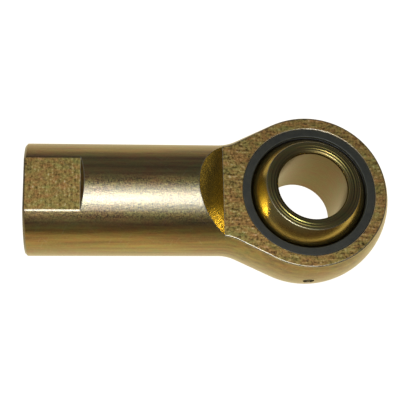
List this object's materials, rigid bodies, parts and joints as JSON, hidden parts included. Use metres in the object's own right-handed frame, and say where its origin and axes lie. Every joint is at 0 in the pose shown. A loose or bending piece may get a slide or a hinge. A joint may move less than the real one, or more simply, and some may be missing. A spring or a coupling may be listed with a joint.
{
  "type": "rod end bearing",
  "caption": "Rod end with a female thread: a plated steel body whose round head holds a moulded race and a swivelling bored ball.",
  "frame": {"origin": "centre of the ball, which is the point that the ball swivels about", "axes": "+Z along the axis of the head's seat, square to the head's faces; -X along the shank, out of its threaded hole"},
  "size_m": [0.0826, 0.038, 0.0254],
  "materials": {
    "plated_body": "zinc plated with yellow chromate, fine turning marks",
    "race_plastic": "satin, as moulded",
    "plated_ball": "ground sphere, turned faces, yellow chromate",
    "dry_film": "matt dry lubricant, dark grey"
  },
  "bodies": {
    "housing": {"rod_end_body": "plated_body", "moulded_race": "race_plastic"},
    "race_film": {"race_side_film": "dry_film"},
    "ball_film": {"ball_side_film": "dry_film"},
    "swivel_ball": {"ball": "plated_ball"}
  },
  "joints": [
    {"name": "lean_direction", "type": "hinge", "parent": "housing", "child": "race_film", "pos_m": [0, 0, 0], "axis": [0, 0, 1], "continuous": true},
    {"name": "ball_lean", "type": "hinge", "parent": "race_film", "child": "ball_film", "pos_m": [0, 0, 0], "axis": [-0.6909, 0.723, 0], "range_deg": [-21.1, 10.9]},
    {"name": "ball_spin", "type": "hinge", "parent": "ball_film", "child": "swivel_ball", "pos_m": [0, 0, 0], "axis": [0.0643, 0.0614, 0.996], "continuous": true}
  ]
}
